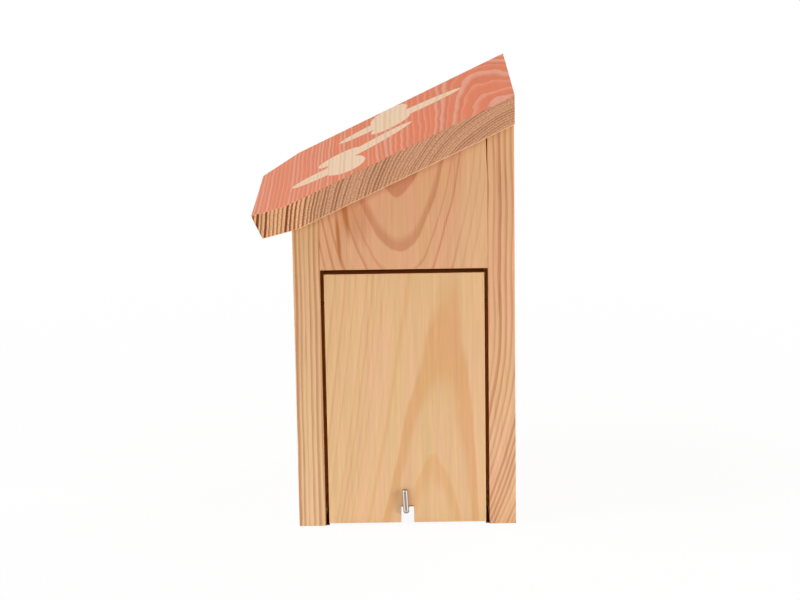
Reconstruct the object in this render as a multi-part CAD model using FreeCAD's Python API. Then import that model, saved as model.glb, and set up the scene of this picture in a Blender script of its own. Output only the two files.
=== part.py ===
import FreeCAD, Part
import math
import os

# A wooden butterfly house with a sloping roof and a swinging side door.
# Millimetres and degrees. The front faces -Y, the back +Y, the door is on the +X side and Z = 0 is
# the plane the walls stand on. X = 0 is the middle of the width, Y = 0 the middle of the roof's depth.

# Boards
wall = 18.0                  # thickness of the wall, floor and door boards
body_depth = 148.6           # front face to back face of the walls
panel_front_height = 36.6    # fixed panel above the door, at its front edge
panel_taper = 0.9            # the fixed panel is cut this much narrower at its top rear corner
panel_taper_height = 30.0    # length of that cut, down from the roof
floor_lift = 7.0             # underside of the floor above the ground
arris = 0.6                  # rounding of the edges that show

# Roof
roof_width = 200.0
roof_depth = 177.0           # level distance from the back face to the front top edge
roof_thickness = 18.0
roof_pitch = 25.3            # slope, down to the front
roof_corner_cut = 28.0       # front corners, measured along both edges of the board's face
roof_arris = 1.0
overall_height = 298.0       # ground to the roof's top edge at the back
side_overhang = 10.0         # roof past the walls, on each side

# Door
door_side_gap = 2.5
door_top_gap = 2.8
door_bottom_gap = 1.6
door_floor_gap = 0.5         # inner face of the door to the floor's edge
pivot_drop = 22.0            # pivot axis below the door's top edge

# Screw hook that locks the door
hook_wire = 4.0
hook_offset = 0.9            # shank in front of the door's middle
hook_rise = 3.2              # shank axis above the underside of the floor
hook_grip = 22.0             # length of the shank inside the floor
hook_point = 4.0             # length of the shank's pointed end
hook_arm = 15.9              # shank axis to the tip of the arm
hook_bend = 2.6              # bend radius at the middle of the wire
hook_tip_round = 0.7
hook_face_gap = 0.6          # arm to the door's outer face
hook_lean = 3.0              # the arm stands this much off plumb, towards the front
hook_clearance = 0.1         # round the shank, and past its point
notch_side_clearance = 2.4   # notch in the middle of the door, wider than the wire on each side
notch_top_clearance = 1.5

# Entry slots in the front board
slot_count = 3
slot_width = 10.0
slot_length = 95.0
slot_pitch = 34.0
slot_bottom = 62.0           # lower end of the slots above the ground

# Hole that the house hangs by
hang_hole_diameter = 8.0
hang_hole_drop = 38.0        # below the upper edge of the back face

# Nails: shank, head diameter, head thickness, length of the point
brad_shank = 1.6
brad_head = 2.6
brad_head_thickness = 0.8
brad_point = 2.0
brad_grip = 20.0             # length in the second board
roof_brad_grip = 17.0
pivot_shank = 2.8
pivot_head = 5.6
pivot_head_thickness = 1.2
pivot_point = 3.0
pivot_grip = 24.0            # length in the door
pivot_clearance = 0.1        # round the pivot in the door
pivot_end_clearance = 1.0    # past the pivot's point

# Places of the nails
roof_side_nail_front_inset = 15.5   # from the front board's inner face, on the underside of the roof
roof_side_nail_back_inset = 12.0    # from the back board's inner face
cross_nail_inset = 30.0             # roof nails into front and back, from the walls' sides
side_nail_low = 40.0                # lowest nail of the tall side, above the ground
side_nail_top_inset = 40.0          # highest nail of the tall side, below the roof
panel_nail_low = 8.0                # lowest nail of the fixed panel, above its lower edge
panel_nail_front_step = 10.0
panel_nail_back_step = 38.0
floor_nail_inset = 45.0             # floor nails, from the walls' sides
floor_side_nail_inset = 30.0        # floor nails from the left, from the front and back boards


Vector = FreeCAD.Vector
across = Vector(1, 0, 0)
rearward = Vector(0, 1, 0)
upward = Vector(0, 0, 1)

# Planes that the pieces share
back_face = roof_depth / 2
front_face = back_face - body_depth
front_inner = front_face + wall
back_inner = back_face - wall
roof_front = -roof_depth / 2
half_body = roof_width / 2 - side_overhang
door_inner = half_body - wall
left_inner = wall - half_body
floor_top = floor_lift + wall
floor_edge = door_inner - door_floor_gap

# Roof slope
pitch = math.radians(roof_pitch)
roof_normal = Vector(0, -math.sin(pitch), math.cos(pitch))
up_slope = Vector(0, math.cos(pitch), math.sin(pitch))


def roof_top(y):
    """Height of the roof's upper face at a depth."""
    return overall_height - (back_face - y) * math.tan(pitch)


def roof_underside(y):
    """Height of the roof's lower face at a depth."""
    return roof_top(y) - roof_thickness / math.cos(pitch)


# Door and hook
panel_low = roof_underside(front_inner) - panel_front_height
door_top = panel_low - door_top_gap
door_mid_y = (front_inner + back_inner) / 2
pivot_x = half_body - wall / 2
pivot_z = door_top - pivot_drop
hook_y = door_mid_y - hook_offset
hook_z = floor_lift + hook_rise
hook_arm_x = half_body + hook_face_gap + hook_wire / 2


def spread(count, low, high):
    """Evenly spaced places from low to high."""
    step = (high - low) / (count - 1)
    return [low + step * number for number in range(count)]


def prism(points, travel):
    """A flat outline pushed along a vector."""
    outline = Part.makePolygon(points + points[:1])
    return Part.Face(outline).extrude(travel)


def eased(board, radius, shows):
    """Rounds the edges of a board whose middle passes a test."""
    edges = [edge for edge in board.Edges if shows(edge.CenterOfMass)]
    return board.makeFillet(radius, edges)


def at(value, target):
    """True where a coordinate lies on a plane."""
    return abs(value - target) < 1e-3


def upright_board(left, right, front, back):
    """A board that stands on the ground and ends in the slope of the roof."""
    points = [
        Vector(left, front, 0),
        Vector(left, back, 0),
        Vector(left, back, roof_underside(back)),
        Vector(left, front, roof_underside(front)),
    ]
    return prism(points, across * (right - left))


def nail(seat, heading, length, shank, head, head_thickness, point):
    """A turned nail whose flat head lies at seat, driven along heading."""
    profile = [
        Vector(0, 0, 0),
        Vector(head / 2, 0, 0),
        Vector(head / 2, 0, head_thickness),
        Vector(shank / 2, 0, head_thickness),
        Vector(shank / 2, 0, length - point),
        Vector(0, 0, length),
    ]
    outline = Part.makePolygon(profile + profile[:1])
    turned = Part.Face(outline).revolve(Vector(0, 0, 0), upward, 360)
    turned.Placement = FreeCAD.Placement(seat, FreeCAD.Rotation(upward, heading))
    return turned


def brad(seat, heading, thickness, grip=brad_grip):
    """A thin nail through a board of some thickness into the next one."""
    return nail(seat, heading, thickness + grip, brad_shank, brad_head, brad_head_thickness, brad_point)


def roof_brad(x, y):
    """A brad square to the roof, by its place on the roof's underside."""
    seat = Vector(x, y, roof_underside(y)) + roof_normal * roof_thickness
    return brad(seat, roof_normal * -1, roof_thickness, roof_brad_grip)


def pivot_nail(face, heading):
    """A stout nail through a wall, whose end the door turns on."""
    length = wall + door_side_gap + pivot_grip
    seat = Vector(pivot_x, face, pivot_z)
    return nail(seat, heading, length, pivot_shank, pivot_head, pivot_head_thickness, pivot_point)


def drilled(board, drills):
    """A board with holes cut by the given solids, as one solid."""
    return board.cut(drills).removeSplitter().Solids[0]


def entry_slot(x):
    """Cutter for one upright slot with round ends."""
    radius = slot_width / 2
    low = slot_bottom + radius
    high = slot_bottom + slot_length - radius
    lower_left = Vector(x - radius, front_face, low)
    lower_right = Vector(x + radius, front_face, low)
    upper_left = Vector(x - radius, front_face, high)
    upper_right = Vector(x + radius, front_face, high)
    edges = [
        Part.Arc(lower_left, Vector(x, front_face, low - radius), lower_right).toShape(),
        Part.LineSegment(lower_right, upper_right).toShape(),
        Part.Arc(upper_right, Vector(x, front_face, high + radius), upper_left).toShape(),
        Part.LineSegment(upper_left, lower_left).toShape(),
    ]
    return Part.Face(Part.Wire(edges)).extrude(rearward * wall)


def make_front_board(nails):
    """Front wall, with the entry slots side by side."""
    board = upright_board(-half_body, half_body, front_face, front_inner)
    board = eased(board, arris, lambda middle: at(abs(middle.x), half_body) and middle.z > wall
                  and (at(middle.y, front_face) or at(middle.y, front_inner)))
    reach = slot_pitch * (slot_count - 1) / 2
    slots = [entry_slot(x) for x in spread(slot_count, -reach, reach)]
    return drilled(board, slots + nails)


def make_back_board(nails):
    """Rear wall, with the hole that it hangs by."""
    board = upright_board(-half_body, half_body, back_inner, back_face)
    board = eased(board, arris, lambda middle: at(abs(middle.x), half_body) and middle.z > wall
                  and (at(middle.y, back_face) or at(middle.y, back_inner)))
    hole_middle = Vector(0, back_inner, roof_underside(back_face) - hang_hole_drop)
    hole = Part.makeCylinder(hang_hole_diameter / 2, wall, hole_middle, rearward)
    return drilled(board, [hole] + nails)


def make_left_side_board(nails):
    """Fixed side wall between the front and the back board."""
    board = upright_board(-half_body, left_inner, front_inner, back_inner)
    board = eased(board, arris, lambda middle: at(middle.x, -half_body)
                  and (at(middle.y, front_inner) or at(middle.y, back_inner)))
    return drilled(board, nails)


def make_right_upper_panel(nails):
    """Fixed panel above the door, cut back a little at its top rear corner."""
    top_back = back_inner - panel_taper
    points = [
        Vector(door_inner, front_inner, panel_low),
        Vector(door_inner, back_inner, panel_low),
        Vector(door_inner, back_inner, roof_underside(back_inner) - panel_taper_height),
        Vector(door_inner, top_back, roof_underside(top_back)),
        Vector(door_inner, front_inner, roof_underside(front_inner)),
    ]
    board = prism(points, across * wall)
    board = eased(board, arris, lambda middle: at(middle.x, half_body)
                  and not at(middle.z, roof_underside(middle.y)))
    return drilled(board, nails)


def make_floor_board(nails):
    """Floor between the walls, with the hole that the hook is screwed into."""
    size = (floor_edge - left_inner, back_inner - front_inner, wall)
    board = Part.makeBox(*size, Vector(left_inner, front_inner, floor_lift))
    depth = hook_grip + hook_clearance
    mouth = Vector(floor_edge, hook_y, hook_z)
    hole = Part.makeCylinder(hook_wire / 2 + hook_clearance, depth, mouth, across * -1)
    return drilled(board, [hole] + nails)


def make_roof_board(nails):
    """Roof: front end square to the slope with both corners cut, back end plumb."""
    half = roof_width / 2
    cut = roof_corner_cut
    slope_length = roof_depth / math.cos(pitch)
    front_edge = Vector(0, roof_front, roof_top(roof_front))
    outline = [
        (cut - half, 0),
        (half - cut, 0),
        (half, cut),
        (half, slope_length),
        (-half, slope_length),
        (-half, cut),
    ]
    face = [front_edge + across * x + up_slope * along for x, along in outline]
    board = prism(face, roof_normal * -roof_thickness)
    spare = roof_thickness * math.tan(pitch)
    plumb_cut = Part.makeBox(roof_width, spare, overall_height, Vector(-half, back_face, 0))
    board = board.cut(plumb_cut)

    def rounded(middle):
        depth = (middle - front_edge).dot(roof_normal)
        return (at(depth, 0) or at(depth, -roof_thickness)) and not at(middle.y, back_face)

    return drilled(eased(board, roof_arris, rounded), nails)


def make_door_panel():
    """Door with its two pivot holes and the notch for the hook."""
    front = front_inner + door_side_gap
    back = back_inner - door_side_gap
    size = (wall, back - front, door_top - door_bottom_gap)
    board = Part.makeBox(*size, Vector(door_inner, front, door_bottom_gap))
    board = eased(board, arris, lambda middle: at(middle.x, half_body))
    radius = pivot_shank / 2 + pivot_clearance
    depth = pivot_grip + pivot_end_clearance
    front_hole = Part.makeCylinder(radius, depth, Vector(pivot_x, front, pivot_z), rearward)
    back_hole = Part.makeCylinder(radius, depth, Vector(pivot_x, back, pivot_z), rearward * -1)
    notch_width = hook_wire + 2 * notch_side_clearance
    notch_height = hook_z + hook_wire / 2 + notch_top_clearance - door_bottom_gap
    notch_corner = Vector(door_inner, door_mid_y - notch_width / 2, door_bottom_gap)
    notch = Part.makeBox(wall, notch_width, notch_height, notch_corner)
    return drilled(board, [front_hole, back_hole, notch])


def make_latch_hook():
    """Bent wire hook: pointed shank, one tight bend and an upright arm with a rounded tip."""
    radius = hook_wire / 2
    bend_end = hook_arm_x - hook_bend
    shank_end = floor_edge - hook_grip
    start = Vector(shank_end + hook_point, hook_y, hook_z)
    bend_start = Vector(bend_end, hook_y, hook_z)
    bend_centre = bend_start + upward * hook_bend
    bend_middle = bend_centre + (across - upward) * (hook_bend / math.sqrt(2))
    arm_start = bend_centre + across * hook_bend
    tip = Vector(hook_arm_x, hook_y, hook_z + hook_arm)
    path = Part.Wire([
        Part.LineSegment(start, bend_start).toShape(),
        Part.Arc(bend_start, bend_middle, arm_start).toShape(),
        Part.LineSegment(arm_start, tip).toShape(),
    ])
    section = Part.Wire([Part.makeCircle(radius, start, across)])
    wire = path.makePipeShell([section], True, False)
    wire = eased(wire, hook_tip_round, lambda middle: at(middle.z, tip.z))
    point = Part.makeCone(radius, 0, hook_point, start, across * -1)
    hook = wire.fuse(point).removeSplitter().Solids[0]
    hook.rotate(start, across, hook_lean)
    return hook


def make_nails():
    """All fixed brads, grouped by the joint that they hold."""
    side_x = half_body - wall / 2
    floor_z = floor_lift + wall / 2
    cross_x = spread(3, cross_nail_inset - half_body, half_body - cross_nail_inset)
    floor_x = spread(2, floor_nail_inset - half_body, half_body - floor_nail_inset)
    side_low = front_inner + roof_side_nail_front_inset
    roof_side_y = spread(3, side_low, back_inner - roof_side_nail_back_inset)
    lean = roof_brad_grip * math.sin(pitch) / 2
    front_y = front_face + wall / 2 - lean
    back_y = back_face - wall / 2 - lean
    front_z = spread(3, side_nail_low, roof_underside(front_inner) - side_nail_top_inset)
    back_z = spread(3, side_nail_low, roof_underside(back_inner) - side_nail_top_inset)
    panel_nail_z = panel_low + panel_nail_low
    panel_front_z = [panel_nail_z, panel_nail_z + panel_nail_front_step]
    panel_back_z = [panel_nail_z, panel_nail_z + panel_nail_back_step]
    floor_y = spread(2, front_inner + floor_side_nail_inset, back_inner - floor_side_nail_inset)

    def from_front(x, z):
        return brad(Vector(x, front_face, z), rearward, wall)

    def from_back(x, z):
        return brad(Vector(x, back_face, z), rearward * -1, wall)

    return {
        "roof_nails_front": [roof_brad(x, front_y) for x in cross_x],
        "roof_nails_back": [roof_brad(x, back_y) for x in cross_x],
        "roof_nails_left": [roof_brad(-side_x, y) for y in roof_side_y],
        "roof_nails_right": [roof_brad(side_x, y) for y in roof_side_y],
        "front_nails_left": [from_front(-side_x, z) for z in front_z],
        "front_nails_right": [from_front(side_x, z) for z in panel_front_z],
        "front_nails_floor": [from_front(x, floor_z) for x in floor_x],
        "back_nails_left": [from_back(-side_x, z) for z in back_z],
        "back_nails_right": [from_back(side_x, z) for z in panel_back_z],
        "back_nails_floor": [from_back(x, floor_z) for x in floor_x],
        "left_nails_floor": [brad(Vector(-half_body, y, floor_z), across, wall) for y in floor_y],
    }


def main():
    nails = make_nails()
    pivots = {
        "front_pivot_nail": pivot_nail(front_face, rearward),
        "back_pivot_nail": pivot_nail(back_face, rearward * -1),
    }
    fixed = [one for group in nails.values() for one in group] + list(pivots.values())
    nodes = {
        "back_board": make_back_board(fixed),
        "front_board": make_front_board(fixed),
        "left_side_board": make_left_side_board(fixed),
        "right_upper_panel": make_right_upper_panel(fixed),
        "floor_board": make_floor_board(fixed),
        "roof_board": make_roof_board(fixed),
        "door_panel": make_door_panel(),
        "latch_hook": make_latch_hook(),
    }
    nodes.update(pivots)
    nodes.update({name: Part.makeCompound(group) for name, group in nails.items()})

    os.makedirs("parts", exist_ok=True)
    for name, shape in nodes.items():
        shape.exportStep("parts/" + name + ".step")
        print(name, len(shape.Solids), "solids,", round(shape.Volume), "mm3, valid:", shape.isValid())


main()
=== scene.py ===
import math
from collections import namedtuple

import bmesh
import bpy
from mathutils import Matrix, Vector


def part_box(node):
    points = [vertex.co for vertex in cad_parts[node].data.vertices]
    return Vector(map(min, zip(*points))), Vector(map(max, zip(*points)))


# Looks of a wooden butterfly house with a stained roof and a swinging side door.
# Lengths are metres. Inside the wood finishes they are millimetres.

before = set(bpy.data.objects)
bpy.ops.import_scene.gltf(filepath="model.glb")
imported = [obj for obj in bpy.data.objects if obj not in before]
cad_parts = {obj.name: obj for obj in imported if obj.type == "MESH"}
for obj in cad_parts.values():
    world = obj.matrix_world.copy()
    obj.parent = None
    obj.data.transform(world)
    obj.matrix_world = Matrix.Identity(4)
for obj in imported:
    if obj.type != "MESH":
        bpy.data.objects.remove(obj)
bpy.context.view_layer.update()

MM = 1000.0

# Camera, which looks at the door's side a little from above
PICTURE_WIDTH = 800
FOCAL_PIXELS = 2450.0
SENSOR_WIDTH = 36.0
CAMERA_TARGET = Vector((0.1000, 0.01138, 0.16112))
CAMERA_DISTANCE = 1.6348
CAMERA_ELEVATION = math.radians(13.54)
CAMERA_TURN = math.radians(0.363)
CAMERA_ROLL = math.radians(-0.931)

# Roof slope, down to the front
ROOF_PITCH = math.radians(25.3)
UP_SLOPE = Vector((0, math.cos(ROOF_PITCH), math.sin(ROOF_PITCH)))
ROOF_NORMAL = Vector((0, -math.sin(ROOF_PITCH), math.cos(ROOF_PITCH)))

ACROSS = Vector((1, 0, 0))
REARWARD = Vector((0, 1, 0))
UPWARD = Vector((0, 0, 1))


def tone(red, green, blue):
    """A screen colour of 0 to 255 as the linear colour that a shader takes."""
    def linear(level):
        share = level / 255
        return share / 12.92 if share <= 0.04045 else ((share + 0.055) / 1.055) ** 2.4
    return (linear(red), linear(green), linear(blue), 1.0)


class Value:
    """A number in a finish's node tree. Arithmetic on it adds Math nodes."""

    def __init__(self, finish, socket):
        self.finish = finish
        self.socket = socket

    def __add__(self, other):
        return self.finish.math("ADD", self, other)

    __radd__ = __add__

    def __sub__(self, other):
        return self.finish.math("SUBTRACT", self, other)

    def __rsub__(self, other):
        return self.finish.math("SUBTRACT", other, self)

    def __mul__(self, other):
        return self.finish.math("MULTIPLY", self, other)

    __rmul__ = __mul__

    def __truediv__(self, other):
        return self.finish.math("DIVIDE", self, other)


class Finish:
    """A material or world under way, with short ways to add its nodes."""

    def __init__(self, holder):
        self.holder = holder
        holder.use_nodes = True
        self.tree = holder.node_tree
        self.tree.nodes.clear()

    def node(self, kind, settings=None, sockets=None, output=0):
        """Adds a node: settings first, then the values or links of its sockets."""
        made = self.tree.nodes.new(kind)
        for name, setting in (settings or {}).items():
            setattr(made, name, setting)
        for name, given in (sockets or {}).items():
            if isinstance(given, Value):
                self.tree.links.new(given.socket, made.inputs[name])
            else:
                made.inputs[name].default_value = given
        return Value(self, made.outputs[output]) if made.outputs else None

    def math(self, operation, *values):
        return self.node("ShaderNodeMath", {"operation": operation}, dict(enumerate(values)))

    def most(self, *values):
        """The largest of some numbers."""
        largest = values[0]
        for value in values[1:]:
            largest = self.math("MAXIMUM", largest, value)
        return largest

    def diagonal(self, first, second):
        """Length over two lengths that are square to each other."""
        return self.math("SQRT", first * first + second * second)

    def smooth(self, value, low, high):
        """0 below low, 1 above high and an eased step between."""
        return self.node(
            "ShaderNodeMapRange",
            {"interpolation_type": "SMOOTHSTEP"},
            {"Value": value, "From Min": low, "From Max": high},
        )

    def band(self, value, start, full, drop, end):
        """0 up to start, 1 from full to drop, 0 from end on, and eased steps between."""
        return self.smooth(value, start, full) * (1 - self.smooth(value, drop, end))

    def vector(self, x, y, z):
        return self.node("ShaderNodeCombineXYZ", None, {"X": x, "Y": y, "Z": z})

    def along(self, vector, axis):
        """How far a vector reaches along an axis."""
        return self.node(
            "ShaderNodeVectorMath", {"operation": "DOT_PRODUCT"}, {0: vector, 1: axis}, "Value")

    def place(self):
        """The place on the model, in metres."""
        return self.node("ShaderNodeTexCoord", None, None, "Object")

    def facing(self, axis):
        """How far the surface looks along an axis: 1 with it, -1 against it."""
        return self.along(self.node("ShaderNodeTexCoord", None, None, "Normal"), axis)

    def noise(self, vector, detail=2.0):
        """Soft random values about 0, from about -0.5 to 0.5."""
        return self.node(
            "ShaderNodeTexNoise",
            {"noise_dimensions": "3D", "normalize": True},
            {"Vector": vector, "Scale": 1.0, "Detail": detail, "Roughness": 0.5},
            "Fac",
        ) - 0.5

    def mix(self, share, first, second):
        """A colour between two colours."""
        return self.node(
            "ShaderNodeMix",
            {"data_type": "RGBA", "clamp_factor": True},
            {0: share, 6: first, 7: second},
            2,
        )

    def tinted(self, colour, tint):
        """A colour multiplied by another one."""
        return self.node(
            "ShaderNodeMix",
            {"data_type": "RGBA", "blend_type": "MULTIPLY"},
            {0: 1.0, 6: colour, 7: tint},
            2,
        )

    def shaded(self, colour, share):
        """A colour made lighter or darker by a factor."""
        grey = self.node("ShaderNodeCombineColor", None, {"Red": share, "Green": share, "Blue": share})
        return self.tinted(colour, grey)

    def surface(self, sockets):
        """Ends the finish in a surface with the given sockets, and returns the material."""
        shader = self.node("ShaderNodeBsdfPrincipled", None, sockets)
        self.node("ShaderNodeOutputMaterial", None, {"Surface": shader})
        return self.holder


# How a board was sawn from the tree, in mm from the board's middle: where the heart of the tree lies
# in the two directions square to the grain, how it leans along the grain, how it sweeps aside with
# the square of the distance below a place on the grain, and how fast the tree grows thinner
Heart = namedtuple(
    "Heart", "first second first_lean second_lean first_sweep second_sweep sweep_from taper",
    defaults=(0.0, 0.0, 0.0, 0.0, 0.0, 0.0))

# A stretch between two distances from the heart: rings per mm, and how plainly their late wood shows
Growth = namedtuple("Growth", "start end rings plainness")
GROWTH_CHANGE = 6.0

# Dark late wood in a ring: the parts of the ring at which it starts, is full and drops off, how far its
# start moves from ring to ring, and how much it fades in the palest rings
LateWood = namedtuple("LateWood", "start full drop unevenness fading", defaults=(0.4, 0.68))

# Paler sapwood on a board's rear side, from a place in mm from the middle that leans along the grain
Sapwood = namedtuple("Sapwood", "start lean")

# A dark streak of pitch in mm: where its middle lies from the board's middle, its size, its lean along
# the grain, and how far it hides the wood
PitchStreak = namedtuple("PitchStreak", "rearward up length width lean strength")

# What a board shows: rings per mm and their plainness, other stretches of growth, a shift of the rings,
# which also sets their random strengths, how far they waver in mm, their late wood, the tones of early
# and late wood, how much of the painted light at the foot and painted shade at the head it has, its
# sapwood and its streaks of pitch
Timber = namedtuple(
    "Timber", "heart rings plainness growth shift waver late_wood early late drift sapwood pitch",
    defaults=(0.0, None, ()))

TIMBERS = {
    "door_panel": Timber(
        heart=Heart(first=-46.1, second=23.4, second_lean=0.09, first_sweep=0.00026, sweep_from=132.0),
        rings=0.36, plainness=0.7, growth=[Growth(0.0, 62.0, 0.138, 1.0)], shift=602.47, waver=4.0,
        late_wood=LateWood(0.6, 0.85, 0.9),
        early=tone(219, 179, 136), late=tone(214, 164, 116), drift=0.55),
    "right_upper_panel": Timber(
        heart=Heart(first=-29.2, second=-4.6, first_lean=0.22),
        rings=0.26, plainness=0.9, growth=[Growth(0.0, 46.0, 0.116, 0.9)], shift=42.71, waver=4.0,
        late_wood=LateWood(0.7, 0.92, 0.94),
        early=tone(210, 157, 119), late=tone(187, 121, 87), drift=0.9, sapwood=Sapwood(38.6, 0.114),
        pitch=[
            # The first is no streak of pitch but a broad faint brown patch just below the roof
            PitchStreak(-34.0, -6.0, 54.0, 34.0, -0.1, 0.35),
            PitchStreak(-43.5, -22.0, 50.0, 3.8, -0.065, 0.95),
            PitchStreak(-38.9, -4.0, 46.0, 5.6, -0.133, 0.95)]),
    "front_board": Timber(
        heart=Heart(first=8.0, second=55.0, first_lean=0.01, second_lean=0.02),
        rings=0.55, plainness=0.9, growth=[], shift=0.0, waver=1.5,
        late_wood=LateWood(0.35, 0.8, 0.9),
        early=tone(218, 179, 138), late=tone(184, 128, 88), drift=1.2),
    "back_board": Timber(
        heart=Heart(first=25.0, second=-48.0, second_sweep=-0.0015, sweep_from=10.0),
        rings=0.42, plainness=0.78, growth=[], shift=0.0, waver=3.2,
        late_wood=LateWood(0.35, 0.8, 0.9),
        early=tone(218, 171, 132), late=tone(181, 118, 84), drift=0.8),
    "left_side_board": Timber(
        heart=Heart(first=34.0, second=-6.0, first_lean=0.1, second_lean=0.03),
        rings=0.3, plainness=0.6, growth=[Growth(0.0, 48.0, 0.16, 1.0)], shift=31.3, waver=4.0,
        late_wood=LateWood(0.62, 0.88, 0.92),
        early=tone(222, 178, 134), late=tone(200, 142, 96), drift=0.8),
    "floor_board": Timber(
        heart=Heart(first=20.0, second=-40.0, second_lean=0.05),
        rings=0.25, plainness=0.9, growth=[], shift=0.0, waver=4.0,
        late_wood=LateWood(0.4, 0.85, 0.9),
        early=tone(226, 180, 136), late=tone(198, 136, 92)),
    "roof_board": Timber(
        heart=Heart(first=82.0, second=-103.0, first_lean=0.08, taper=-0.00027),
        rings=0.36, plainness=1.5,
        growth=[Growth(0.0, 120.0, 0.66, 0.75), Growth(120.0, 172.0, 0.48, 0.95)],
        shift=314.85, waver=3.0, late_wood=LateWood(0.25, 0.75, 0.88),
        early=tone(232, 176, 132), late=tone(118, 58, 24)),
}

# All wood: matt, with slight ridges. A faint red-brown glow is painted into it, so that narrow gaps in it
# stay a deep brown rather than black, a little less at the ends of boards
WOOD_GLOSS = 0.12
WOOD_ROUGHNESS = 0.66
STREAK_ROUGHNESS = 0.1
END_ROUGHNESS = 0.3
LATE_WOOD_RIDGE = 0.6
FIBRE_RIDGE = 0.8
RIDGE_STRENGTH = 0.35
RIDGE_HEIGHT = 0.0001
PAINTED_GAP_GLOW = tone(44, 23, 0)
END_GAP_GLOW_LOSS = 0.3

# Rings wander widely, and ripple a little on the way
RIPPLE = 0.15

# Lightness of streaks and single rings on bare wood, a painted highlight on its eased edges, darkening
# of the rings on its ends, and darkness of its sparse dark fibres
STREAK_LIGHT = 0.2
RING_LIGHT = 0.05
EASED_EDGE_HIGHLIGHT = 0.12
END_RING_SHADE = 0.2
FIBRE_DARKNESS = 0.25

# Bare wood changes between two hues, and the walls have painted light at the foot and painted shade
# at the head, over a height in mm
YELLOWER = (0.975, 1.015, 0.93, 1.0)
PINKER = (1.025, 0.98, 1.04, 1.0)
HUE_CONTRAST = 1.6
PAINTED_FOOT_LIGHT_TINT = (1.08, 1.14, 1.18, 1.0)
PAINTED_HEAD_SHADE_TINT = (0.925, 0.88, 0.845, 1.0)
FOOT_TO_HEAD = 240.0

# Sapwood fades in over a width in mm to each side, and a streak of pitch is full in its inner part
SAPWOOD = tone(214, 171, 128)
SAPWOOD_FADE = 4.0
SAPWOOD_STRENGTH = 0.7
PITCH = tone(174, 106, 60)
PITCH_CORE = 0.3

# End grain is darker than a board's faces, and the door's upper end is painted a deeper brown, as
# shade in its gap
END_GRAIN_TINT = (0.66, 0.53, 0.44, 1.0)
TOP_GAP_SHADE_TINT = (0.34, 0.12, 0.05, 1.0)

# Sawn sides of the roof. Away from its front end, up to a distance from the heart in mm, the wood is
# duller, and at a greater distance it is plain. A pale painted highlight runs along the arris of the lower
# side
DULL_EARLY = tone(198, 148, 116)
DULL_LATE = tone(134, 87, 59)
DULL_UP_TO = 160.0
PLAIN_FROM = 182.0
SAWN_LATE_WOOD = LateWood(0.25, 0.65, 0.86, 0.3, 0.6)
SAWN_PLAINNESS = 0.85
SAWN_SPECKLE = 1.3
SPECKLE_SIZE = 0.9
ARRIS_HIGHLIGHT = tone(250, 198, 150)
ARRIS_HIGHLIGHT_STRENGTH = 0.6

# Salmon stain on the roof's upper face. Late wood and the front end take less of it, and it gathers at
# the end of a ring, from a least share to a greater one. Its outlines follow the fibres, in mm
STAIN_EARLY = tone(219, 122, 87)
STAIN_LATE = tone(232, 160, 136)
STAIN_RING_END = tone(205, 106, 72)
STAIN_LATE_SHARE = 1.1
STAIN_FRONT_SHARE = 0.15
LEAST_RING_END = 0.2
MORE_RING_END = 0.6
STAIN_SPECKLE = 0.16
STAIN_RING_LIGHT = 0.1
STAIN_OUTLINE = 0.6
STAIN_EDGE = 0.5

# Nail heads on the roof were brushed over with it and look a little darker
STAINED_HEAD_LIGHT = 0.9

# Bare-wood butterflies on the stained roof, each of four overlapping lobes. Places are in mm up the
# slope from the roof's front edge and from its far side, and a lobe's place is from the figure's middle
Lobe = namedtuple("Lobe", "up_slope nearer length width turn")
Butterfly = namedtuple("Butterfly", "up_slope from_far_side lobes")

BUTTERFLIES = [
    Butterfly(101.6, 52.5, [
        Lobe(0.7, -24.0, 58.0, 30.0, 90), Lobe(2.2, 21.0, 34.0, 31.0, 90),
        Lobe(-9.0, -3.0, 60.0, 27.0, 0), Lobe(14.6, 3.4, 88.0, 26.0, 13)]),
    Butterfly(67.3, 132.5, [
        Lobe(-3.2, -22.0, 32.0, 31.0, 0), Lobe(2.5, 21.0, 64.0, 28.0, 75),
        Lobe(-12.5, 12.5, 51.0, 27.0, 10), Lobe(21.0, -15.0, 68.0, 27.0, -21)]),
]
FIGURE_EARLY = tone(240, 211, 181)
FIGURE_LATE = tone(226, 191, 158)
FIGURE_LATE_SHARE = 0.8
FIGURE_STREAK_LIGHT = 0.08
FIGURE_OUTLINE = 0.5

# A place in a board, in mm from its middle: along the grain and square to it both ways
Place = namedtuple("Place", "along first second")

# What the rings are at a place: the place within the ring from 0 to 1, a random number for each ring,
# and how plainly they show
Rings = namedtuple("Rings", "share chance plainness")


def middle_of(node):
    """Middle of a piece's box."""
    low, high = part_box(node)
    return (low + high) / 2


def place_in_board(finish, node, grain, first, second):
    """Place in the board, by the directions of its grain and square to it."""
    offset = finish.node(
        "ShaderNodeVectorMath", {"operation": "SUBTRACT"}, {0: finish.place(), 1: middle_of(node)})
    return Place(*[finish.along(offset, axis) * MM for axis in (grain, first, second)])


def grain_noise(finish, place, length, width, detail=2.0):
    """Soft random values about 0, in patches of a length along the grain and a width in mm."""
    return finish.noise(
        finish.vector(place.along / length, place.first / width, place.second / width), detail)


def ring_distance(finish, timber, place):
    """Distance in mm from the heart of the tree, with the slow wander of real growth."""
    heart = timber.heart
    along = place.along
    below = finish.math("MINIMUM", along - heart.sweep_from, 0.0)
    bow = below * below
    first_off = place.first - (along * heart.first_lean + bow * heart.first_sweep + heart.first)
    second_off = place.second - (along * heart.second_lean + bow * heart.second_sweep + heart.second)
    wander = grain_noise(finish, place, length=110, width=34)
    ripple = grain_noise(finish, place, length=30, width=8) * RIPPLE
    straight = finish.diagonal(first_off, second_off)
    return straight * (1 + along * heart.taper) + (wander + ripple) * timber.waver


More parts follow.
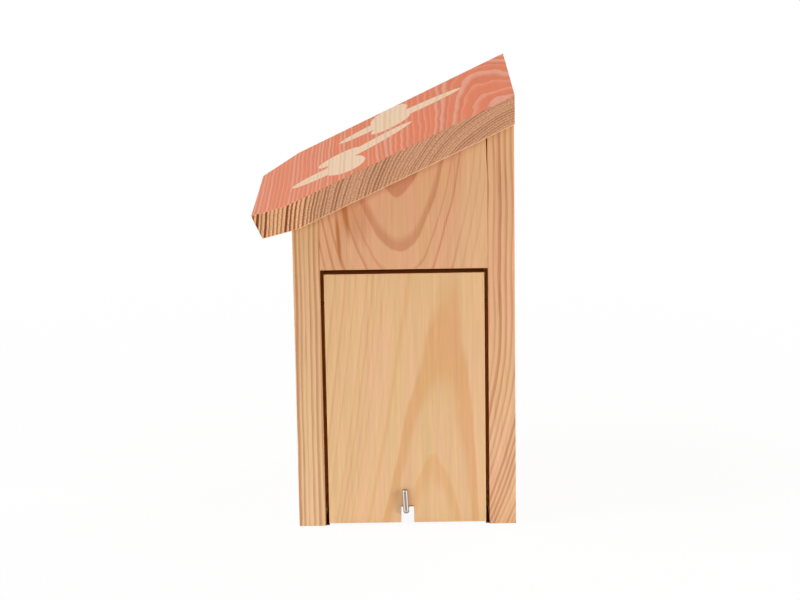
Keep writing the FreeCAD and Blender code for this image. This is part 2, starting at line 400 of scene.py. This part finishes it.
def growth_rings(finish, timber, distance):
    """Rings at a distance from the heart, over the stretches in which the tree grew fast or slowly."""
    turns = distance * timber.rings + timber.shift
    plainness = timber.plainness
    for stretch in timber.growth:
        inside = finish.node(
            "ShaderNodeClamp", None,
            {"Value": distance - stretch.start, "Min": 0.0, "Max": stretch.end - stretch.start})
        turns = turns + inside * (stretch.rings - timber.rings)
        started = finish.smooth(distance, stretch.start - GROWTH_CHANGE, stretch.start + GROWTH_CHANGE)
        ended = finish.smooth(distance, stretch.end - GROWTH_CHANGE, stretch.end + GROWTH_CHANGE)
        plainness = plainness + (started - ended) * (stretch.plainness - timber.plainness)
    ring = finish.math("FLOOR", turns)
    chance = finish.node("ShaderNodeTexWhiteNoise", {"noise_dimensions": "1D"}, {"W": ring}, "Value")
    return Rings(turns - ring, chance, plainness)


def late_wood_share(finish, late_wood, rings):
    """How dark each place is with its ring's late wood, which is wide in some rings and thin in others."""
    later = (rings.chance - 0.5) * late_wood.unevenness
    dark = finish.band(
        rings.share, later + late_wood.start, later + late_wood.full, late_wood.drop, 1.0)
    return dark * (1 - rings.chance * late_wood.fading)


def fibre_streaks(finish, place):
    """Fine and broad streaks along the grain."""
    fine = grain_noise(finish, place, length=30, width=0.8, detail=3.0)
    return fine + grain_noise(finish, place, length=130, width=3.0)


def dark_fibres(finish, place):
    """1 on sparse thin dark fibres."""
    return finish.smooth(grain_noise(finish, place, length=40, width=1.1, detail=1.0), 0.10, 0.24)


def uneven_hue(finish, colour, place):
    """A colour that changes between a yellower and a pinker one along and across the board."""
    broad = grain_noise(finish, place, length=60, width=11)
    narrow = grain_noise(finish, place, length=70, width=3.5)
    return finish.tinted(colour, finish.mix((broad + narrow) * HUE_CONTRAST + 0.5, YELLOWER, PINKER))


def painted_foot_light_head_shade(finish, colour, place, drift):
    """A colour with painted light at a wall's foot, drifting to painted shade at its head."""
    height = finish.smooth(place.along, -FOOT_TO_HEAD / 2, FOOT_TO_HEAD / 2)
    return finish.tinted(colour, finish.mix((height - 0.5) * drift + 0.5, PAINTED_FOOT_LIGHT_TINT, PAINTED_HEAD_SHADE_TINT))


def sapwood_and_pitch(finish, timber, colour, place):
    """A colour with the board's pale sapwood and its dark streaks of pitch, where it has them."""
    if timber.sapwood:
        inside = place.second - place.along * timber.sapwood.lean - timber.sapwood.start
        share = finish.smooth(inside, -SAPWOOD_FADE, SAPWOOD_FADE) * SAPWOOD_STRENGTH
        colour = finish.mix(share, colour, SAPWOOD)
    for streak in timber.pitch:
        above = place.along - streak.up
        lengthways = above / (streak.length / 2)
        sideways = (place.second - above * streak.lean - streak.rearward) / (streak.width / 2)
        outward = finish.smooth(finish.diagonal(lengthways, sideways), PITCH_CORE, 1.0)
        colour = finish.mix((1 - outward) * streak.strength, colour, PITCH)
    return colour


def face_share(finish, axis, low, high):
    """1 on faces that look along an axis, either way."""
    return finish.smooth(finish.math("ABSOLUTE", finish.facing(axis)), low, high)


def end_share(finish, grain):
    """1 on a board's two ends across the grain."""
    return face_share(finish, grain, 0.72, 0.94)


def eased_edge_share(finish, axes):
    """1 on the rounded edges between a board's faces."""
    squarest = finish.most(*[finish.math("ABSOLUTE", finish.facing(axis)) for axis in axes])
    return 1 - finish.smooth(squarest, 0.90, 0.98)


def end_grain_tint(finish, grain, upper_end_tint):
    """Tint of a board's two ends across the grain."""
    return finish.mix(finish.smooth(finish.facing(grain), -0.5, 0.5), END_GRAIN_TINT, upper_end_tint)


def wood_relief(finish, dark, streaks):
    """Slight ridges of the late wood and the fibres."""
    height = dark * LATE_WOOD_RIDGE + streaks * FIBRE_RIDGE
    return finish.node(
        "ShaderNodeBump", None,
        {"Strength": RIDGE_STRENGTH, "Distance": RIDGE_HEIGHT, "Height": height})


def wood_surface(finish, colour, dark, streaks, end):
    """Matt wood of a colour, with a faint painted glow that keeps narrow gaps in it a deep brown."""
    return finish.surface({
        "Base Color": colour,
        "Roughness": WOOD_ROUGHNESS + streaks * STREAK_ROUGHNESS + end * END_ROUGHNESS,
        "Specular IOR Level": WOOD_GLOSS,
        "Emission Color": finish.shaded(PAINTED_GAP_GLOW, 1 - end * END_GAP_GLOW_LOSS),
        "Emission Strength": 1.0,
        "Normal": wood_relief(finish, dark, streaks),
    })


def bare_wood(node, grain=UPWARD, first=ACROSS, second=REARWARD, upper_end_tint=END_GRAIN_TINT):
    """Planed softwood, sawn so that its rings show as on the real board."""
    timber = TIMBERS[node]
    finish = Finish(bpy.data.materials.new(node + "_wood"))
    place = place_in_board(finish, node, grain, first, second)
    rings = growth_rings(finish, timber, ring_distance(finish, timber, place))
    dark = late_wood_share(finish, timber.late_wood, rings) * rings.plainness
    streaks = fibre_streaks(finish, place)
    end = end_share(finish, grain)
    edge = eased_edge_share(finish, (grain, first, second))
    colour = finish.mix(dark + dark_fibres(finish, place) * FIBRE_DARKNESS, timber.early, timber.late)
    colour = uneven_hue(finish, colour, place)
    # Painted light at the wall's foot and painted shade at its head
    colour = painted_foot_light_head_shade(finish, colour, place, timber.drift)
    colour = sapwood_and_pitch(finish, timber, colour, place)
    light = 1 + streaks * STREAK_LIGHT + (rings.chance - 0.5) * RING_LIGHT
    # Eased edges get a painted highlight
    light = light + edge * EASED_EDGE_HIGHLIGHT - end * dark * END_RING_SHADE
    colour = finish.shaded(colour, light)
    end_colour = finish.tinted(colour, end_grain_tint(finish, grain, upper_end_tint))
    return wood_surface(finish, finish.mix(end, colour, end_colour), dark, streaks, end)


def lobe_share(finish, lobe, up, nearer):
    """1 inside an oval lobe, by the place from the figure's middle."""
    turn = math.radians(lobe.turn)
    up = up - lobe.up_slope
    nearer = nearer - lobe.nearer
    lengthways = (up * math.cos(turn) + nearer * math.sin(turn)) / (lobe.length / 2)
    sideways = (nearer * math.cos(turn) - up * math.sin(turn)) / (lobe.width / 2)
    depth = (1 - finish.diagonal(lengthways, sideways)) * (lobe.width / 2)
    return finish.smooth(depth, -FIGURE_OUTLINE, FIGURE_OUTLINE)


def butterfly_share(finish, place, streaks):
    """1 inside the bare butterflies, whose outlines run out a little along the fibres."""
    low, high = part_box("roof_board")
    front_edge = Vector((low.x, low.y, high.z - (high.y - low.y) * math.tan(ROOF_PITCH)))
    offset = front_edge - middle_of("roof_board")
    up = place.first - offset.dot(UP_SLOPE) * MM + streaks * STAIN_OUTLINE
    nearer = place.along - offset.x * MM
    return finish.most(*[
        lobe_share(finish, lobe, up - butterfly.up_slope, nearer - butterfly.from_far_side)
        for butterfly in BUTTERFLIES
        for lobe in butterfly.lobes])


def sawn_roof_colour(finish, timber, rings, plain, speckle):
    """Bare sawn wood of the roof's sides, with a painted highlight along the arris of its lower side."""
    early = finish.mix(plain, DULL_EARLY, timber.early)
    late = finish.mix(plain, DULL_LATE, timber.late)
    dark = late_wood_share(finish, SAWN_LATE_WOOD, rings) * rings.plainness * SAWN_PLAINNESS
    sawn = finish.shaded(finish.mix(dark, early, late), 1 + speckle * SAWN_SPECKLE)
    arris = finish.band(finish.facing(-ROOF_NORMAL), 0.2, 0.5, 0.85, 0.97)
    return finish.mix(arris * ARRIS_HIGHLIGHT_STRENGTH, sawn, ARRIS_HIGHLIGHT)


def stain_colour(finish, rings, dark, plain, speckle, streaks):
    """Salmon stain over the rings."""
    stain = finish.mix(dark * STAIN_LATE_SHARE + plain * STAIN_FRONT_SHARE, STAIN_EARLY, STAIN_LATE)
    ring_end = finish.band(rings.share, 0.84, 0.92, 0.95, 1.0)
    stain = finish.mix(ring_end * (rings.chance * MORE_RING_END + LEAST_RING_END), stain, STAIN_RING_END)
    light = 1 + streaks * STREAK_LIGHT + speckle * STAIN_SPECKLE
    return finish.shaded(stain, light + (rings.chance - 0.5) * STAIN_RING_LIGHT)


def stained_roof_wood(name, light):
    """Softwood with a salmon stain on its upper face, bare butterflies there and bare sawn sides."""
    timber = TIMBERS["roof_board"]
    finish = Finish(bpy.data.materials.new(name))
    place = place_in_board(finish, "roof_board", ACROSS, UP_SLOPE, ROOF_NORMAL)
    distance = ring_distance(finish, timber, place)
    rings = growth_rings(finish, timber, distance)
    dark = late_wood_share(finish, timber.late_wood, rings)
    plain = finish.smooth(distance, DULL_UP_TO, PLAIN_FROM)
    streaks = fibre_streaks(finish, place)
    speckle = grain_noise(finish, place, SPECKLE_SIZE, SPECKLE_SIZE)

    sawn = sawn_roof_colour(finish, timber, rings, plain, speckle)
    stain = stain_colour(finish, rings, dark, plain, speckle, streaks)
    figure = finish.mix(dark * FIGURE_LATE_SHARE, FIGURE_EARLY, FIGURE_LATE)
    figure = finish.shaded(figure, 1 + streaks * FIGURE_STREAK_LIGHT)
    upper = finish.mix(butterfly_share(finish, place, streaks), stain, figure)
    top = finish.smooth(finish.facing(ROOF_NORMAL) + streaks * STAIN_EDGE, 0.5, 0.75)
    colour = finish.shaded(finish.mix(top, sawn, upper), light)
    return wood_surface(finish, colour, dark, streaks, end_share(finish, ACROSS))


# Size of the cloudy spots on steel and on zinc
STEEL_SPOT = 0.0007
ZINC_SPOT = 0.0011


def fine_cloud(finish, size):
    """Soft random values about 0 in spots of a size in metres."""
    scaled = finish.node(
        "ShaderNodeVectorMath", {"operation": "SCALE"}, {0: finish.place(), "Scale": 1 / size})
    return finish.noise(scaled, detail=3.0)


def drawn_brad_steel():
    """Drawn steel of the nails, with a fine cloudy surface."""
    finish = Finish(bpy.data.materials.new("drawn_brad_steel"))
    cloud = fine_cloud(finish, STEEL_SPOT)
    return finish.surface({
        "Base Color": finish.mix(cloud + 0.5, tone(112, 104, 96), tone(160, 154, 148)),
        "Metallic": 1.0,
        "Roughness": 0.42 + cloud * 0.2,
    })


def shade_painted_pivot_steel():
    """Pivot nails, painted dark brown as shade in the gaps that they cross, with the same painted glow."""
    finish = Finish(bpy.data.materials.new("shade_painted_pivot_steel"))
    cloud = fine_cloud(finish, STEEL_SPOT)
    return finish.surface({
        "Base Color": finish.mix(cloud + 0.5, tone(96, 60, 40), tone(128, 82, 56)),
        "Roughness": 0.7 + cloud * 0.2,
        "Specular IOR Level": WOOD_GLOSS,
        "Emission Color": PAINTED_GAP_GLOW,
        "Emission Strength": 1.0,
    })


def bright_zinc():
    """Zinc plating of the hook's wire: painted dark reflections on its outer side and top, painted shade
    below and at its sides.
    """
    finish = Finish(bpy.data.materials.new("bright_zinc"))
    cloud = fine_cloud(finish, ZINC_SPOT)
    # Masks of painted dark reflections on the outer side and top, and of painted shade below and at the
    # sides
    outer = face_share(finish, ACROSS, 0.90, 0.985)
    upper = finish.smooth(finish.facing(UPWARD), 0.2, 0.7)
    sides = face_share(finish, REARWARD, 0.8, 1.0)
    lower = finish.smooth(finish.facing(-UPWARD), 0.2, 0.8)
    plated = finish.mix(cloud + 0.5, tone(206, 200, 192), tone(238, 230, 220))
    painted_reflection = finish.mix(finish.most(outer, upper) * 0.85, plated, tone(132, 118, 112))
    return finish.surface({
        "Base Color": finish.mix(finish.most(sides, lower) * 0.8, painted_reflection, tone(74, 64, 58)),
        "Metallic": 1.0,
        "Roughness": 0.24 + cloud * 0.15,
    })


def dress_nodes():
    """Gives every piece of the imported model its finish."""
    finishes = {
        "roof_board": stained_roof_wood("salmon_stained_roof", 1.0),
        "floor_board": bare_wood("floor_board", ACROSS, REARWARD, UPWARD),
        # The door's upper end takes a painted shade, as in the gap above it
        "door_panel": bare_wood("door_panel", upper_end_tint=TOP_GAP_SHADE_TINT),
        "latch_hook": bright_zinc(),
    }
    for node in ("back_board", "front_board", "left_side_board", "right_upper_panel"):
        finishes[node] = bare_wood(node)
    roof_heads = stained_roof_wood("stained_nail_heads", STAINED_HEAD_LIGHT)
    pivot_steel = shade_painted_pivot_steel()
    brad_steel = drawn_brad_steel()
    for name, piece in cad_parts.items():
        if name.startswith("roof_nails"):
            finishes[name] = roof_heads
        elif name.endswith("pivot_nail"):
            finishes[name] = pivot_steel
        for slot in piece.material_slots:
            slot.material = finishes.get(name, brad_steel)


# Floor: how far it reaches, where its plain white begins, how it lights the house, and how much of what
# is seen of it near the house is a glow, on which the soft shadow lies
FLOOR_REACH = 6.0
FLOOR_FADE_START = 0.35
FLOOR_FADE_END = 0.9
FLOOR_TONE = (0.92, 0.92, 0.92, 1.0)
FLOOR_GLOW = 0.94
WHITE = (1.0, 1.0, 1.0, 1.0)

# Shade on the floor in narrow gaps: its tone, how far round the boards count, the share of open
# directions at which it is full and at which it ends, how soon it stops beside the door's end, and how
# far behind the door the floor that shows through the notch stays pale
GAP_SHADE = tone(36, 8, 3)
GAP_REACH = 0.03
GAP_SAMPLES = 16
GAP_CLOSED = 0.2
GAP_OPEN = 0.45
GAP_EDGE = 0.0003
NOTCH_SIGHT = 0.03


def seen_directly(finish):
    """1 where the camera looks straight, or by way of metal, at the studio."""
    return finish.most(*[
        finish.node("ShaderNodeLightPath", None, None, ray)
        for ray in ("Is Camera Ray", "Is Glossy Ray", "Is Transmission Ray")])


def shade_in_gaps(finish, place):
    """1 where boards close in on the floor, as in the gaps beside the door, but not below its end."""
    open_share = finish.node(
        "ShaderNodeAmbientOcclusion", {"samples": GAP_SAMPLES}, {"Distance": GAP_REACH}, "AO")
    low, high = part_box("door_panel")
    x = finish.along(place, ACROSS)
    y = finish.along(place, REARWARD)
    below_door = finish.smooth(x, low.x - NOTCH_SIGHT, low.x - NOTCH_SIGHT + GAP_EDGE)
    below_door = below_door * finish.band(y, low.y, low.y + GAP_EDGE, high.y - GAP_EDGE, high.y)
    return (1 - finish.smooth(open_share, GAP_CLOSED, GAP_OPEN)) * (1 - below_door)


def pale_floor():
    """Floor that keeps a soft shadow near the house and turns plain white further out."""
    finish = Finish(bpy.data.materials.new("pale_studio_floor"))
    place = finish.place()
    reach = finish.node("ShaderNodeVectorMath", {"operation": "LENGTH"}, {0: place}, "Value")
    far = finish.smooth(reach, FLOOR_FADE_START, FLOOR_FADE_END)
    lit = finish.node("ShaderNodeBsdfDiffuse", None, {"Color": FLOOR_TONE})
    colour = finish.mix(shade_in_gaps(finish, place), WHITE, GAP_SHADE)
    soft = finish.node("ShaderNodeBsdfDiffuse", None, {"Color": finish.shaded(colour, 1 - FLOOR_GLOW)})
    glow = finish.node("ShaderNodeEmission", None, {"Color": colour, "Strength": FLOOR_GLOW})
    white = finish.node("ShaderNodeEmission", None, {"Color": WHITE, "Strength": 1.0})
    near_look = finish.node("ShaderNodeAddShader", None, {0: soft, 1: glow})
    look = finish.node("ShaderNodeMixShader", None, {0: far, 1: near_look, 2: white})
    shader = finish.node("ShaderNodeMixShader", None, {0: seen_directly(finish), 1: lit, 2: look})
    finish.node("ShaderNodeOutputMaterial", None, {"Surface": shader})
    return finish.holder


def make_floor():
    """Level floor of the studio, which isn't part of the house."""
    mesh = bpy.data.meshes.new("studio_floor")
    shape = bmesh.new()
    bmesh.ops.create_grid(shape, x_segments=1, y_segments=1, size=FLOOR_REACH)
    shape.to_mesh(mesh)
    shape.free()
    mesh.materials.append(pale_floor())
    floor = bpy.data.objects.new("studio_floor", mesh)
    bpy.context.scene.collection.objects.link(floor)


SKY_LIGHT = 0.26


def make_world():
    """White to the eye, and an even soft light on the house."""
    finish = Finish(bpy.data.worlds.new("studio"))
    strength = seen_directly(finish) * (1 - SKY_LIGHT) + SKY_LIGHT
    sky = finish.node("ShaderNodeBackground", None, {"Color": WHITE, "Strength": strength})
    finish.node("ShaderNodeOutputWorld", None, {"Surface": sky})
    bpy.context.scene.world = finish.holder


# A soft round lamp: where it stands, the place it is turned to, its width and its power in watts
Lamp = namedtuple("Lamp", "name place target width power")

LAMPS = [
    Lamp("key_lamp", Vector((1.9, -1.1, 0.5)), Vector((0.0, 0.0, 0.1)), 1.0, 13.0),
    Lamp("fill_lamp", Vector((1.1, 1.6, 0.5)), Vector((0.0, 0.0, 0.1)), 0.5, 16.5),
    Lamp("back_lamp", Vector((-1.5, 1.4, 0.9)), Vector((0.0, 0.0, 0.15)), 1.4, 20.0),
    Lamp("top_lamp", Vector((0.2, -1.4, 2.0)), Vector((0.0, 0.0, 0.25)), 1.2, 28.0),
]


def make_lamps():
    for lamp in LAMPS:
        light = bpy.data.lights.new(lamp.name, "AREA")
        light.shape = "DISK"
        light.size = lamp.width
        light.energy = lamp.power
        holder = bpy.data.objects.new(lamp.name, light)
        holder.location = lamp.place
        holder.rotation_euler = (lamp.target - lamp.place).to_track_quat("-Z", "Y").to_euler()
        bpy.context.scene.collection.objects.link(holder)


def make_camera():
    """Camera at the photograph's place, level apart from a slight roll."""
    level = Vector((math.cos(CAMERA_TURN), math.sin(CAMERA_TURN), 0))
    backward = level * math.cos(CAMERA_ELEVATION) + UPWARD * math.sin(CAMERA_ELEVATION)
    right = UPWARD.cross(backward).normalized()
    up = backward.cross(right)
    rolled_right = right * math.cos(CAMERA_ROLL) + up * math.sin(CAMERA_ROLL)
    rolled_up = up * math.cos(CAMERA_ROLL) - right * math.sin(CAMERA_ROLL)
    turn = Matrix((rolled_right, rolled_up, backward)).transposed()
    lens = bpy.data.cameras.new("camera")
    lens.sensor_fit = "HORIZONTAL"
    lens.sensor_width = SENSOR_WIDTH
    lens.lens = FOCAL_PIXELS * SENSOR_WIDTH / PICTURE_WIDTH
    camera = bpy.data.objects.new("camera", lens)
    camera.matrix_world = Matrix.Translation(CAMERA_TARGET + backward * CAMERA_DISTANCE) @ turn.to_4x4()
    bpy.context.scene.collection.objects.link(camera)
    bpy.context.scene.camera = camera


dress_nodes()
make_floor()
make_world()
make_lamps()
make_camera()

bpy.context.scene.view_settings.view_transform = "Standard"
